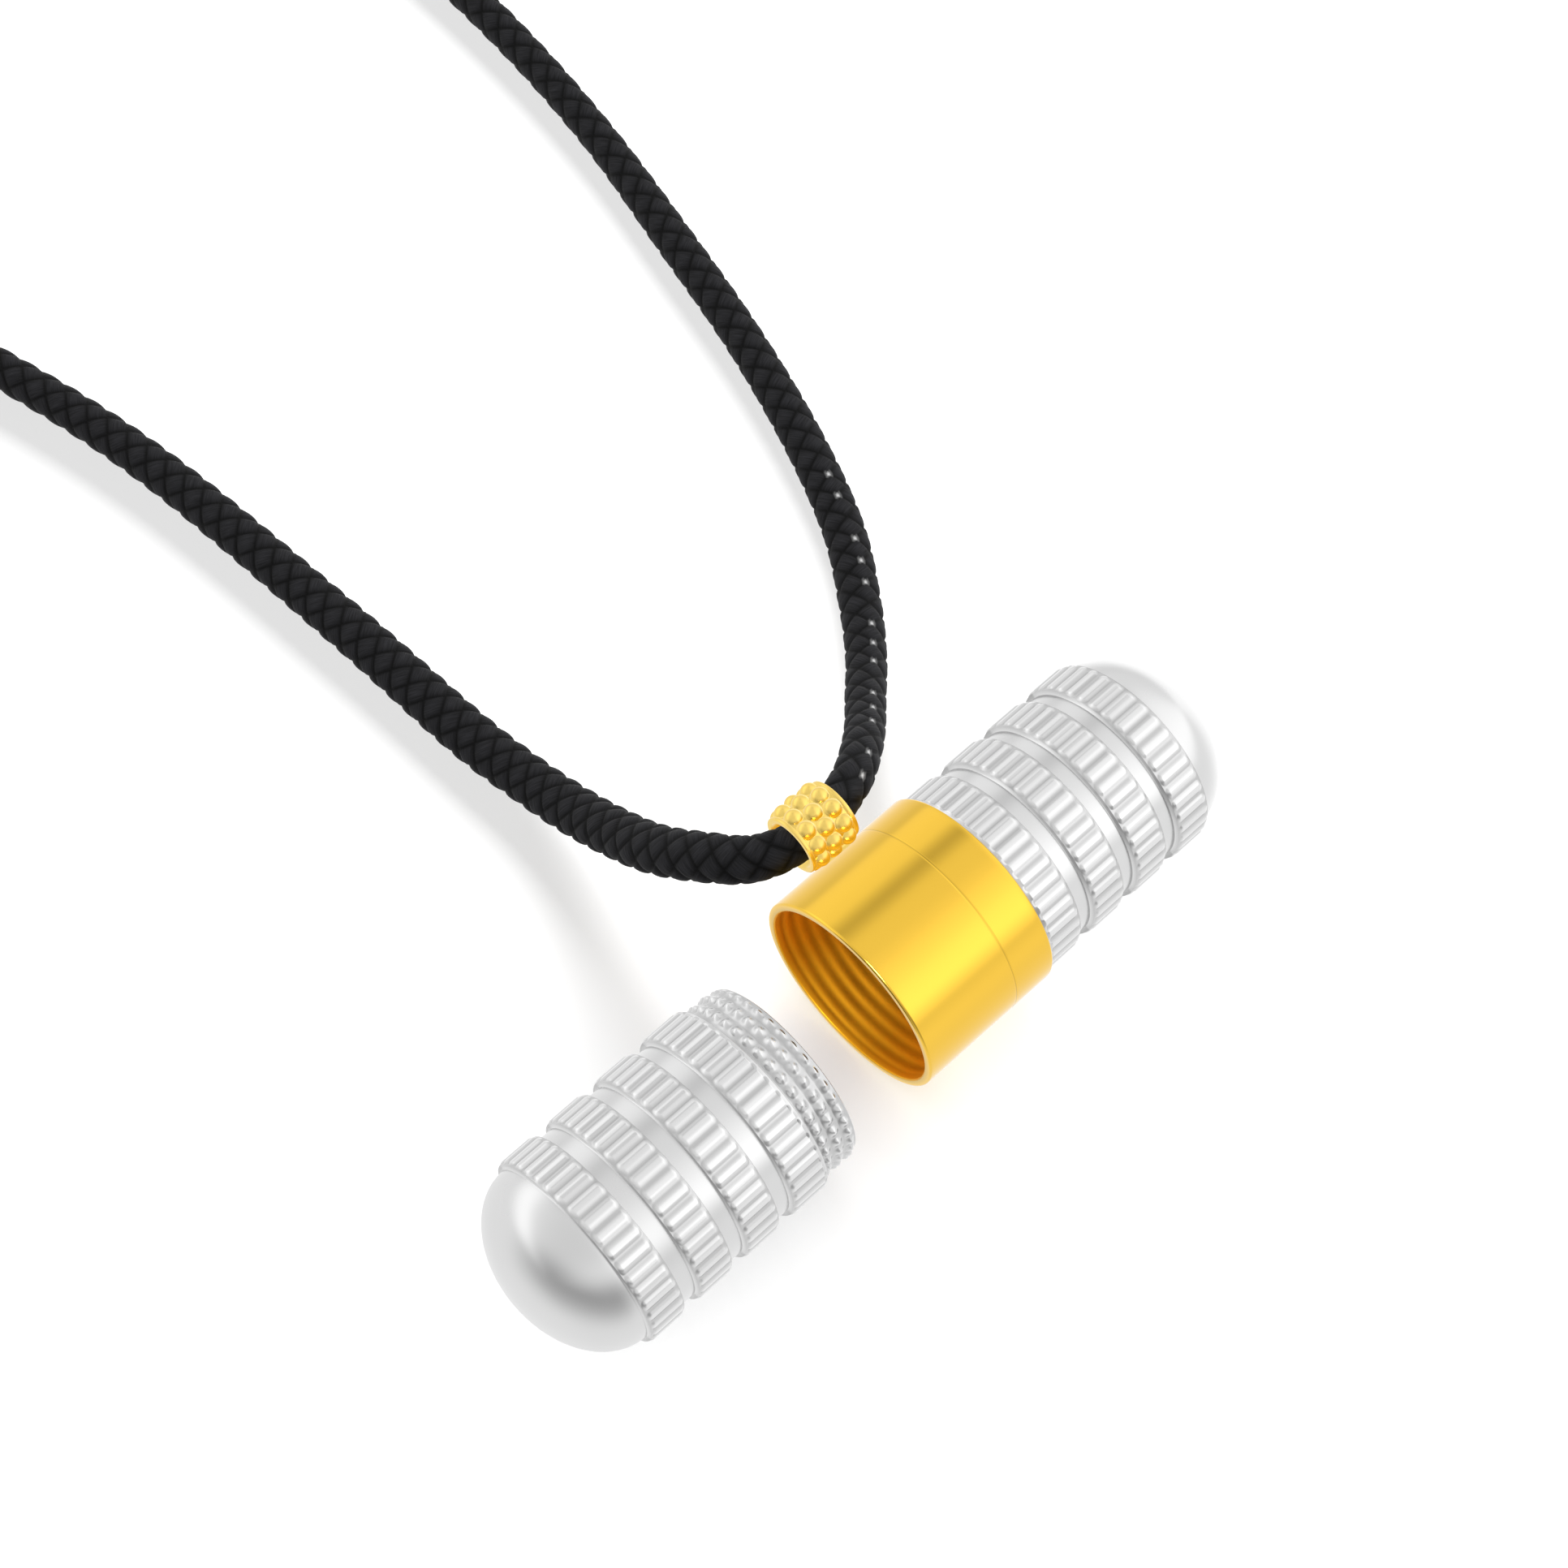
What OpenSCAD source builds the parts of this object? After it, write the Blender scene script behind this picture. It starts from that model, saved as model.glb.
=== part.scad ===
// Amulet capsule pendant on a braided neck cord, shown open and lying down.
// A threaded sleeve carries a beaded bail and two identical ribbed halves:
// one is screwed into the sleeve, the other lies just in front of the mouth.
// +X runs along the capsule, from the removed half to the fitted one, and +Z is up.
// The origin is the centre of the footprint, without the cord, on the surface below.

/* [Sleeve] */
// Outer diameter of the sleeve
sleeve_d = 13; // [12.9:0.1:13.4]
// Length of the sleeve
sleeve_len = 9.6; // [9:0.1:11]
// Chamfer on the sleeve's two rims
rim_chamfer = 0.1; // [0.05:0.01:0.15]

/* [Thread] */
// Outer diameter of the male thread
thread_d = 11.9; // [11.8:0.05:11.9]
// Depth of the male and the female thread
thread_depth = 0.24; // [0.15:0.01:0.26]
// Distance from one thread ridge to the next
thread_pitch = 0.85; // [0.8:0.01:0.86]
// Ridges on each half
thread_ridges = 3; // [2:1:3]
// Radial play between the male and the female thread
thread_play = 0.03; // [0.02:0.005:0.04]

/* [Capsule half] */
// Diameter over the ribbed bands
band_d = 12.5; // [12.4:0.05:12.6]
// Diameter of the plain grooves and of the dome's base
groove_d = 11.7; // [11.5:0.05:11.75]
// Width of the ribbed band beside the thread
first_band = 2.5; // [2.2:0.05:2.8]
// Width of each other ribbed band
band_w = 2.35; // [2:0.05:2.6]
// Width of the plain groove between two bands
groove_w = 1.1; // [0.8:0.05:1.4]
// Number of ribbed bands
band_count = 4; // [2:1:5]
// Number of ribs round each band
rib_count = 40; // [36:2:40]
// Radius of the round cut between two ribs
rib_cut_r = 0.24; // [0.18:0.01:0.26]
// Height of the dome
dome_h = 4.15; // [3.5:0.05:5]
// Diameter of the hollow inside
cavity_d = 10; // [9:0.1:10.4]
// Thickness of the dome at its tip
dome_wall = 1.1; // [0.8:0.1:1.6]

/* [Bail] */
// Length of the bail along the capsule
bail_len = 3.5; // [3.3:0.1:4]
// Bore that the cord runs through
bail_bore = 3.1; // [2.9:0.1:3.2]
// Outer diameter of the bail's plain end rims
bail_rim_d = 3.8; // [3.7:0.1:4]
// Diameter of one bead
bead_d = 1.1; // [1:0.05:1.15]
// Rings of beads
bead_rings = 3; // [2:1:3]
// Beads in each ring
beads_per_ring = 10; // [8:1:11]

/* [Arrangement] */
// Distance from the sleeve's mouth to the removed half's shoulder
pulled_off = 8.15; // [6:0.05:12]
// Sideways shift of the removed half
removed_shift = 0.65; // [0:0.05:2]

/* [Cord] */
// Height of the braided cord, which is its diameter where it is round
cord_d = 2.5; // [2.2:0.1:2.6]

/* [Clasp] */
// Length of the barrel clasp
clasp_len = 12; // [12:0.5:14]
// Diameter of the barrel clasp
clasp_d = 4.4; // [4.2:0.1:4.4]
// Depth of the socket for each end of the cord
socket_depth = 3; // [2:0.1:3]

/* [Hidden] */
$fn = 64;

// Gap between the fitted half's shoulder and the sleeve's rim
seat_gap = 0.05;
// Overshoot of a cutting shape past the surface that it opens
cut = 1;

sleeve_r = sleeve_d / 2;
band_r = band_d / 2;
groove_r = groove_d / 2;
cavity_r = cavity_d / 2;
male_crest_r = thread_d / 2;
male_root_r = male_crest_r - thread_depth;
female_crest_r = male_crest_r + thread_play;
female_root_r = female_crest_r + thread_depth - thread_play;
// A ridge's flank, crest and flank again, as shares of the pitch
flank = 0.22 * thread_pitch;
crest = 0.3 * thread_pitch;
thread_len = (thread_ridges - 1) * thread_pitch + crest + 2 * flank + 0.28;
// Grooves that fit inside the sleeve between its two plain lips
female_count = floor((sleeve_len - 1) / thread_pitch);

bands_len = first_band + (band_count - 1) * (groove_w + band_w);
body_len = bands_len + dome_h;
// Bottoms of the rib cuts stay outside the grooves and the thread
rib_cut_at = band_r - 0.03;

// The bail's axis beside and above the sleeve's, and the radius over its beads
bail_side = 7.5;
bail_up = 4;
bail_bead_at = 1.65;
bail_r = bail_bead_at + bead_d / 2;
bail_rim_w = 0.25;
bail_tube_r = 1.75;
foot_w = 1.6;

// Places in the frame
sleeve_x = (pulled_off - seat_gap) / 2;
axis_y = (removed_shift + band_r - bail_side - bail_r) / 2;
bail_x = 3.75;
clasp_x = 7.5;
clasp_y = 163;

// The cord's route in mm: x, y and z of its centre and its width there, from the clasp
// round and back. It lies on the surface, rises to the bail, passes through it and comes
// down again. The soft braid is wider where it is pushed together beside the bail.
CORD_ROUTE = [
    [10.8, 163, 2.2, 2.5], [14, 163, 2.2, 2.5], [19.5, 160.4, 1.5, 2.5], [26.5, 151, 1.25, 2.5],
    [32, 137, 1.25, 2.5], [34.9, 120, 1.25, 2.5], [35.2, 103, 1.25, 2.5], [35, 86, 1.25, 2.5],
    [34.3, 70, 1.25, 2.45], [32.8, 58, 1.25, 2.4], [30.4, 47, 1.25, 2.6], [28.2, 38, 1.25, 2.6],
    [25.6, 29.9, 1.25, 2.7], [22.8, 23.4, 1.3, 2.75], [19.6, 18.6, 1.7, 2.7], [16.8, 15.2, 2.7, 2.6],
    [14.2, 12.6, 4.3, 2.55], [12, 10.4, 6.2, 2.5], [9.9, 8.6, 8.2, 2.5], [7.7, 7.1, 9.7, 2.5],
    [5.1, 6.2, 10.4, 2.5], [2.4, 6.1, 10.4, 2.5], [0.1, 7.3, 9.8, 2.85], [-1.4, 9.8, 8.6, 3.1],
    [-2.3, 12.7, 6.7, 3.15], [-2.6, 16, 4.6, 3.15], [-2.8, 19.6, 2.8, 3.15], [-3.1, 23.8, 1.7, 3.1],
    [-3.5, 29, 1.3, 3.15], [-3.9, 40, 1.25, 3], [-5.1, 57, 1.25, 2.75], [-7.6, 70, 1.25, 2.55],
    [-12, 86, 1.25, 2.5], [-17.5, 102, 1.25, 2.5], [-21.4, 119, 1.25, 2.5], [-20.2, 136, 1.25, 2.5],
    [-13.5, 150.5, 1.25, 2.5], [-5, 159.9, 1.5, 2.5], [1, 163, 2.2, 2.5], [4.2, 163, 2.2, 2.5]
];
CORD_SIDES = 8;
CORD_STEPS = 2;

function unit(v) = v / norm(v);

// Points of a quarter ellipse, from its base to its tip, as [radius, height]
function quarter_ellipse(base_r, rise, from_z, steps) =
    [for (i = [0:steps]) [base_r * cos(90 * i / steps), from_z + rise * sin(90 * i / steps)]];

// One ridge of a thread, from root to crest and back, as [radius, height]
function ridge(root_r, crest_r, z) = [
    [root_r, z],
    [crest_r, z + flank],
    [crest_r, z + flank + crest],
    [root_r, z + 2 * flank + crest]
];

// A point of the smooth curve through the points of p, at share t of span i
function curve_point(p, i, t) =
    let (
        b = p[i],
        c = p[i + 1],
        a = i > 0 ? p[i - 1] : 2 * b - c,
        d = i + 2 < len(p) ? p[i + 2] : 2 * c - b
    )
    (2 * b + (c - a) * t + (2 * a - 5 * b + 4 * c - d) * t * t
        + (3 * b - a - 3 * c + d) * t * t * t) / 2;

function curve(p, steps) = [
    for (i = [0:len(p) - 2]) for (k = [0:steps - 1]) curve_point(p, i, k / steps),
    p[len(p) - 1]
];

// Outline of a ribbed band and the groove after it, as [radius, height]
function band_outline(i) =
    let (
        start = i == 0 ? 0 : first_band + groove_w + (i - 1) * (band_w + groove_w),
        end = i == 0 ? first_band : start + band_w
    )
    [[band_r, start], [band_r, end], [groove_r, end],
        if (i < band_count - 1) [groove_r, end + groove_w]];

// A half of the capsule: its shoulder at z = 0, its thread below, its dome above
module capsule_half() {
    ridges = [
        for (i = [0:thread_ridges - 1])
            each ridge(male_root_r, male_crest_r, i * thread_pitch - thread_len)
    ];
    bands = [for (i = [0:band_count - 1]) each band_outline(i)];
    dome = quarter_ellipse(groove_r, dome_h, bands_len, 14);
    hollow = quarter_ellipse(cavity_r, dome_h, bands_len - dome_wall, 12);
    difference() {
        rotate_extrude()
            polygon(concat(
                [[0, -thread_len]],
                ridges,
                [[male_root_r, 0]],
                bands,
                [for (i = [1:len(dome) - 2]) dome[i]],
                [[0, body_len]]
            ));
        rotate_extrude()
            polygon(concat(
                [[0, -thread_len - cut], [cavity_r, -thread_len - cut]],
                [for (i = [0:len(hollow) - 2]) hollow[i]],
                [[0, body_len - dome_wall]]
            ));
        for (i = [0:rib_count - 1])
            rotate(360 * (i + 0.5) / rib_count)
                translate([rib_cut_at, 0, -thread_len - cut])
                    cylinder(r = rib_cut_r, h = thread_len + bands_len + 2 * cut, $fn = 24);
    }
}

// The inside of the sleeve along its own axis: two plain mouths and the thread
module sleeve_hollow() {
    half = sleeve_len / 2;
    first = -female_count * thread_pitch / 2;
    grooves = [
        for (i = [0:female_count - 1])
            each ridge(female_crest_r, female_root_r, first + i * thread_pitch)
    ];
    rotate_extrude()
        polygon(concat(
            [[0, -half - cut], [female_crest_r, -half - cut]],
            grooves,
            [[female_crest_r, half + cut], [0, half + cut]]
        ));
}

// The sleeve's outside along its own axis, with a small chamfer on each rim
module sleeve_shell() {
    half = sleeve_len / 2;
    rotate_extrude()
        polygon([
            [0, -half],
            [sleeve_r - rim_chamfer, -half],
            [sleeve_r, -half + rim_chamfer],
            [sleeve_r, half - rim_chamfer],
            [sleeve_r - rim_chamfer, half],
            [0, half]
        ]);
}

// The bail's outside along its own axis: a tube, two plain rims and rings of beads
module bail_shell() {
    ring_step = (bail_len - 2 * bail_rim_w) / bead_rings;
    translate([0, 0, -bail_len / 2])
        cylinder(r = bail_tube_r, h = bail_len);
    for (end = [-1, 1])
        translate([0, 0, end * (bail_len - bail_rim_w) / 2 - bail_rim_w / 2])
            cylinder(d = bail_rim_d, h = bail_rim_w);
    for (ring = [0:bead_rings - 1])
        for (i = [0:beads_per_ring - 1])
            rotate(360 * (i + (ring % 2) / 2) / beads_per_ring)
                translate([bail_bead_at, 0, (ring - (bead_rings - 1) / 2) * ring_step])
                    sphere(d = bead_d, $fn = 24);
}

// The solder that joins the bail to the sleeve
module bail_foot() {
    lean = atan2(bail_up, bail_side);
    reach = norm([bail_side, bail_up]) - bail_bore / 2;
    rotate([lean, 0, 0])
        translate([-foot_w / 2, sleeve_r - 0.15, -foot_w / 2])
            cube([foot_w, reach - sleeve_r + 0.15, foot_w]);
}

module threaded_sleeve() {
    color("gold")
        difference() {
            union() {
                translate([sleeve_x, axis_y, sleeve_r])
                    rotate([0, 90, 0]) sleeve_shell();
                translate([bail_x, axis_y + bail_side, sleeve_r + bail_up])
                    rotate([0, 90, 0]) rotate(90) bail_shell();
                translate([bail_x, axis_y, sleeve_r]) bail_foot();
            }
            translate([sleeve_x, axis_y, sleeve_r])
                rotate([0, 90, 0]) sleeve_hollow();
            translate([bail_x - bail_len, axis_y + bail_side, sleeve_r + bail_up])
                rotate([0, 90, 0]) cylinder(d = bail_bore, h = 2 * bail_len);
        }
}

// The half that is screwed in: its shoulder butts on the sleeve's far rim
module upper_capsule() {
    color("gainsboro")
        translate([sleeve_x + sleeve_len / 2 + seat_gap, axis_y, sleeve_r])
            rotate([0, 90, 0]) capsule_half();
}

// The half that is taken off: it lies on its own ribs and points the other way
module lower_capsule() {
    color("whitesmoke")
        translate([sleeve_x - sleeve_len / 2 - pulled_off, axis_y - removed_shift, band_r])
            rotate([0, -90, 0]) capsule_half();
}

// A plain tube of straight-sided rings swept along the route
module neck_cord() {
    stations = curve(CORD_ROUTE, CORD_STEPS);
    line = [for (s = stations) [s.x, s.y, s.z]];
    last = len(line) - 1;
    turn = 360 / CORD_SIDES;
    points = [
        for (i = [0:last])
            let (
                along = unit(line[min(i + 1, last)] - line[max(i - 1, 0)]),
                side = stations[i][3] / 2 * unit(cross(along, [0, 0, 1])),
                up = cord_d / 2 * unit(cross(side, along))
            )
            for (k = [0:CORD_SIDES - 1])
                line[i] + cos(turn * (k + 0.5)) * side + sin(turn * (k + 0.5)) * up
    ];
    walls = [
        for (i = [0:last - 1]) for (k = [0:CORD_SIDES - 1])
            let (
                a = i * CORD_SIDES + k,
                b = i * CORD_SIDES + (k + 1) % CORD_SIDES
            )
            each [[a, b, b + CORD_SIDES], [a, b + CORD_SIDES, a + CORD_SIDES]]
    ];
    caps = [
        [for (k = [CORD_SIDES - 1:-1:0]) k],
        [for (k = [0:CORD_SIDES - 1]) last * CORD_SIDES + k]
    ];
    color("black")
        polyhedron(points, concat(walls, caps));
}

// A plain barrel that holds both ends of the cord
module cord_clasp() {
    half = clasp_len / 2;
    socket_r = cord_d / 2 + 0.25;
    edge = 0.4;
    waist = 0.3;
    color("silver")
        translate([clasp_x, clasp_y, clasp_d / 2])
            rotate([0, 90, 0])
                difference() {
                    rotate_extrude()
                        polygon([
                            [0, -half],
                            [clasp_d / 2 - edge, -half],
                            [clasp_d / 2, -half + edge],
                            [clasp_d / 2, -waist],
                            [clasp_d / 2 - waist, 0],
                            [clasp_d / 2, waist],
                            [clasp_d / 2, half - edge],
                            [clasp_d / 2 - edge, half],
                            [0, half]
                        ]);
                    for (end = [-1, 1])
                        translate([0, 0, end * (half - socket_depth / 2 + cut / 2)])
                            cylinder(r = socket_r, h = socket_depth + cut, center = true);
                }
}

threaded_sleeve();
upper_capsule();
lower_capsule();
neck_cord();
cord_clasp();
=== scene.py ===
"""Looks of an open amulet capsule pendant on a braided neck cord, lying on a pale floor.

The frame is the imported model, in metres, with +X along the capsule and +Z up.
A gold sleeve carries the beaded bail. One ribbed half is screwed into its far end,
the other lies in front of its open mouth, and the cord runs through the bail.
"""

import math

import bpy
import numpy as np
from mathutils import Matrix, Vector


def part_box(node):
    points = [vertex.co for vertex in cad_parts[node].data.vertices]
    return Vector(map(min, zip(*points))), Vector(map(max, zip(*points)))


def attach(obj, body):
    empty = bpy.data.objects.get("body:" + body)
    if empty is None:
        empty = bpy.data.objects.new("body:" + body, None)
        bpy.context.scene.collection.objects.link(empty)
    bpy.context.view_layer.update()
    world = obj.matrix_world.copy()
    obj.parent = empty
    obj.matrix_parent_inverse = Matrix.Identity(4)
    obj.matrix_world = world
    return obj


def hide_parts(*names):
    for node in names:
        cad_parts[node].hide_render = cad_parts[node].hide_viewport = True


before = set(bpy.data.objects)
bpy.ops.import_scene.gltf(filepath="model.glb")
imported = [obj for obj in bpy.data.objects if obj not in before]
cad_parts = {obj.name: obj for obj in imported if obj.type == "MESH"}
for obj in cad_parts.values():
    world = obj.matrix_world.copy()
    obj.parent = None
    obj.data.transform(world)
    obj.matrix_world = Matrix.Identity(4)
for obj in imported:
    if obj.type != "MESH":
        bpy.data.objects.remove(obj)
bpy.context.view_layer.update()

MM = 0.001
TURN = 2 * math.pi

# Camera: where it looks in mm, from which way in degrees, from how far in mm, and its lens in mm
CAMERA_TARGET = (6.09, 11.01, 6.0)
CAMERA_AZIMUTH = -42.14
CAMERA_ELEVATION = 61.44
CAMERA_ROLL = -1.52
CAMERA_DISTANCE = 190.3
CAMERA_LENS = 75.8

# The cord's route in mm: x, y and z of its centre and its width there, from the clasp round
CORD_D = 2.5
CORD_ROUTE = [
    (10.8, 163, 2.2, 2.5), (14, 163, 2.2, 2.5), (19.5, 160.4, 1.5, 2.5), (26.5, 151, 1.25, 2.5),
    (32, 137, 1.25, 2.5), (34.9, 120, 1.25, 2.5), (35.2, 103, 1.25, 2.5), (35, 86, 1.25, 2.5),
    (34.3, 70, 1.25, 2.45), (32.8, 58, 1.25, 2.4), (30.4, 47, 1.25, 2.6), (28.2, 38, 1.25, 2.6),
    (25.6, 29.9, 1.25, 2.7), (22.8, 23.4, 1.3, 2.75), (19.6, 18.6, 1.7, 2.7), (16.8, 15.2, 2.7, 2.6),
    (14.2, 12.6, 4.3, 2.55), (12, 10.4, 6.2, 2.5), (9.9, 8.6, 8.2, 2.5), (7.7, 7.1, 9.7, 2.5),
    (5.1, 6.2, 10.4, 2.5), (2.4, 6.1, 10.4, 2.5), (0.1, 7.3, 9.8, 2.85), (-1.4, 9.8, 8.6, 3.1),
    (-2.3, 12.7, 6.7, 3.15), (-2.6, 16, 4.6, 3.15), (-2.8, 19.6, 2.8, 3.15), (-3.1, 23.8, 1.7, 3.1),
    (-3.5, 29, 1.3, 3.15), (-3.9, 40, 1.25, 3), (-5.1, 57, 1.25, 2.75), (-7.6, 70, 1.25, 2.55),
    (-12, 86, 1.25, 2.5), (-17.5, 102, 1.25, 2.5), (-21.4, 119, 1.25, 2.5), (-20.2, 136, 1.25, 2.5),
    (-13.5, 150.5, 1.25, 2.5), (-5, 159.9, 1.5, 2.5), (1, 163, 2.2, 2.5), (4.2, 163, 2.2, 2.5),
]
ROUTE_STEPS = 60
# The braid: strands each way round, mesh steps across one, length of one turn where it is not
# pushed together, and its relief
BRAID_STRANDS = 4
BRAID_STEPS = 7
BRAID_TURN = 7.4
BRAID_RELIEF = 0.12
# A strand's shape: powers that flatten its round section and its bow, and its height where it dips
# under the next one
STRAND_ROUND = 0.8
STRAND_BOW = 0.7
STRAND_DIP = 0.25
# How far the braid has turned, in degrees, by its distance from the clasp in mm
BRAID_TWIST = [(150, 39), (155.7, 27), (170.5, 23), (173.5, 15), (175.8, 8), (177.4, -7)]
# The painted glint dots, pale spots at the crossings of one column: which column, from where to
# where in mm, and which one of how many crossings goes without
PAINTED_GLINT_COLUMN = 5
PAINTED_GLINT_STRETCH = (147, 177)
PAINTED_GLINT_SKIPPED = 2
PAINTED_GLINT_PERIOD = 4

# The sleeve's sizes in mm, as in the part, and its seam line, measured from its middle
SLEEVE_R = 6.5
FEMALE_R = 5.98
SLEEVE_THREAD_DEPTH = 0.034
SEAM_AT = 1.9
SEAM_W = 0.1
SEAM_DEPTH = 0.012

# The halves' sizes in mm, as in the part: thread, hollow, bands with the grooves between, and dome
MALE_R = 5.95
THREAD_PITCH = 0.85
THREAD_DEPTH = 0.24
THREAD_LEN = 2.609
THREAD_FADE = 0.3
CAVITY_R = 5.0
BAND_R = 6.25
BAND_FLOOR_R = 6.14
GROOVE_R = 5.85
FIRST_BAND = 2.5
BAND_W = 2.35
GROOVE_W = 1.1
BAND_COUNT = 4
BANDS_LEN = FIRST_BAND + (BAND_COUNT - 1) * (GROOVE_W + BAND_W)
DOME_H = 4.15
DOME_WALL = 1.1
# The share of the thread's height that is cut away between its pearls
THREAD_FLUTES = 0.8
# The plain rim beside the thread, and the raised bars: mesh steps for each, half of one's flat top
# and of its foot, and how much steeper its ends are than its sides
RIM_W = 0.24
RIM_R = 6.2
RIBS = 40
RIB_STEPS = 16
BAR_TOP = 0.1
BAR_FOOT = 0.49
BAR_END = 1.8
# How far round the bars of each half are turned, in degrees
FITTED_RIBS_TURN = 5.6
REMOVED_RIBS_TURN = 2.5

# The bail's sizes in mm, as in the part, and its centre from the middle of the sleeve's axis
BAIL_PLACE = (-0.3, 7.5, 4)
BAIL_LEN = 3.5
BAIL_BORE_R = 1.55
BAIL_TUBE_R = 1.75
BAIL_RIM_R = 1.9
BAIL_RIM_W = 0.25
BEAD_R = 0.55
BEAD_AT = 1.65
BEAD_RINGS = 3
BEADS = 10

# The clasp's sockets and details in mm: how round its edges are, the grooves beside its turned rings
# by their distance from its middle, and the outlines (depth, along) of a groove and of half its waist
SOCKET_R = 1.5
SOCKET_DEPTH = 3.0
SOCKET_EDGE = 0.15
CLASP_EDGE = 0.35
CLASP_GROOVES = (3.9, 3.3)
CLASP_GROOVE = ((0, 0.16), (0.1, 0.06), (0.1, -0.06), (0, -0.16))
CLASP_WAIST = ((0, 0.32), (0.2, 0.1))

# Polished metals: colour, roughness, how far it varies, how fine the handling marks are along X, Y
# and Z, how deep they look, and the share of colour left in the recesses, a painted shade
LENGTHWISE = (300, 9000, 9000)
METALS = {
    "gold": ((0.90, 0.56, 0.065), 0.08, 0.06, LENGTHWISE, 0.02, 0.7),
    # A darker, more orange copy of the gold for the sleeve's bore: painted shade
    "gold_inside_shaded": ((0.9, 0.46, 0.02), 0.48, 0.08, (300, 5000, 5000), 0.1, 0.85),
    # A paler, yellower copy of the gold for the bail and the solder: painted light
    "gold_beads_lit": ((0.95, 0.68, 0.17), 0.3, 0.08, (5000, 5000, 5000), 0.15, 1.0),
    "silver": ((0.70, 0.70, 0.70), 0.22, 0.06, LENGTHWISE, 0.05, 0.8),
    "silver_inside": ((0.9, 0.9, 0.9), 0.42, 0.08, LENGTHWISE, 0.05, 1.0),
    "clasp_steel": ((0.62, 0.62, 0.63), 0.2, 0.08, (200, 9000, 9000), 0.2, 1.0),
}
# The clouds in their roughness, and the height of the handling marks in metres
CLOUD_SCALE = 260
CLOUD_RANGE = (0.35, 0.7)
MARK_HEIGHT = 0.00001
# How much brighter a metal's colour is painted on its crests, a painted highlight, and how deep its
# plain surfaces count, where a crest counts as 0 and the bottom of a recess as 1
CREST_PAINTED_HIGHLIGHT = 1.12
PLAIN_DEPTH = 0.3
# The braid: its roughness and gloss, its filaments as noise across and along a strand, their height
# in metres, their two tones and where they lie in the noise, and its painted valley shade and glint
# dots
BRAID_ROUGHNESS = 0.6
BRAID_GLOSS = 0.1
FILAMENT_SCALE = (16, 1.2, 1)
FILAMENT_HEIGHT = 0.00004
FILAMENT_TONES = ((0.3, (0.009, 0.009, 0.01, 1)), (0.75, (0.0265, 0.0265, 0.03, 1)))
VALLEY_SHADE_GREY = 0.0008
PAINTED_GLINT_GREY = 0.7

# The studio's brightness against the angle round the X axis, in degrees from +Y over the top:
# one list for light from the left (-X), one for the middle and one for the right (+X)
LEFT_LIGHT = [
    (-180, 1.0), (-12, 1.0), (0, 0.95), (10, 1.22), (18, 1.38), (30, 1.36), (42, 1.08),
    (52, 0.95), (85, 0.84), (123, 0.87), (152, 1.03), (166, 0.86), (180, 0.85),
]
MIDDLE_LIGHT = [
    (-180, 0.98), (-165, 1.06), (-145, 1.02), (-40, 1.05), (-12, 0.92), (0, 0.86), (8, 1.06),
    (30, 1.06), (42, 0.97), (53, 0.67), (61, 0.67), (72, 0.92), (96, 1.0), (110, 1.15),
    (132, 1.42), (150, 1.6), (162, 1.54), (174, 1.15), (180, 0.98),
]
RIGHT_LIGHT = [
    (-180, 1.0), (-130, 1.08), (-80, 1.3), (-35, 1.28), (-12, 0.98), (0, 0.88), (14, 0.95),
    (50, 1.0), (88, 1.22), (112, 1.32), (150, 1.42), (166, 1.3), (180, 1.0),
]
LIGHT_SCALE = 2.0
# Where the left light gives way to the middle one, and that to the right one, as shares of +X
LEFT_TO_MIDDLE = (0.06, 0.26)
MIDDLE_TO_RIGHT = (0.38, 0.52)
# The dark end of the left light: which way it lies, how far round it fades in, how far above and
# below the level of the eye it fades out, and the share of light that it takes
DARK_END = (-0.77, -0.64)
DARK_FADE = (0.1, 0.85)
DARK_RISE = 0.7
DARK_SHARE = 0.55

# The lamps, all at one distance in metres from the frame's origin: which way each lies, how wide it
# is in metres, and its power in watts
LAMP_DISTANCE = 1.2
KEY_LAMP = {"towards": (0.64, 0.635, 0.44), "size": 0.7, "power": 26}
GLINT_LAMP = {"towards": (0.8, -0.08, 0.58), "size": 0.06, "power": 3}
MOUTH_LAMP = {"towards": (-0.6, -0.25, 0.76), "size": 0.5, "power": 10.5}

# The floor: its radius in metres, how pale and how rough it is, and how strong its gloss
FLOOR_R = 3.0
FLOOR_SIDES = 96
FLOOR_GREY = 0.77
FLOOR_ROUGHNESS = 0.12
FLOOR_GLOSS = 0.35


# Camera, floor and light

def add_object(name, data):
    thing = bpy.data.objects.new(name, data)
    bpy.context.collection.objects.link(thing)
    return thing


def aim_camera():
    """A camera at the photograph's viewing angle."""
    a, e = math.radians(CAMERA_AZIMUTH), math.radians(CAMERA_ELEVATION)
    back = Vector((math.sin(a) * math.cos(e), -math.cos(a) * math.cos(e), math.sin(e)))
    level = (-back).cross(Vector((0, 0, 1))).normalized()
    right = Matrix.Rotation(math.radians(CAMERA_ROLL), 3, back) @ level
    up = back.cross(right)
    data = bpy.data.cameras.new("camera")
    data.lens = CAMERA_LENS
    data.sensor_width = 36
    data.clip_start = 0.005
    data.clip_end = 20
    camera = add_object("camera", data)
    spot = (Vector(CAMERA_TARGET) + back * CAMERA_DISTANCE) * MM
    camera.matrix_world = Matrix.Translation(spot) @ Matrix((right, up, back)).transposed().to_4x4()
    bpy.context.scene.camera = camera


def feed(tree, socket, value):
    """Links another node's output into the socket, or sets its value."""
    if isinstance(value, bpy.types.NodeSocket):
        tree.links.new(value, socket)
    elif value is not None:
        socket.default_value = value


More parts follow.
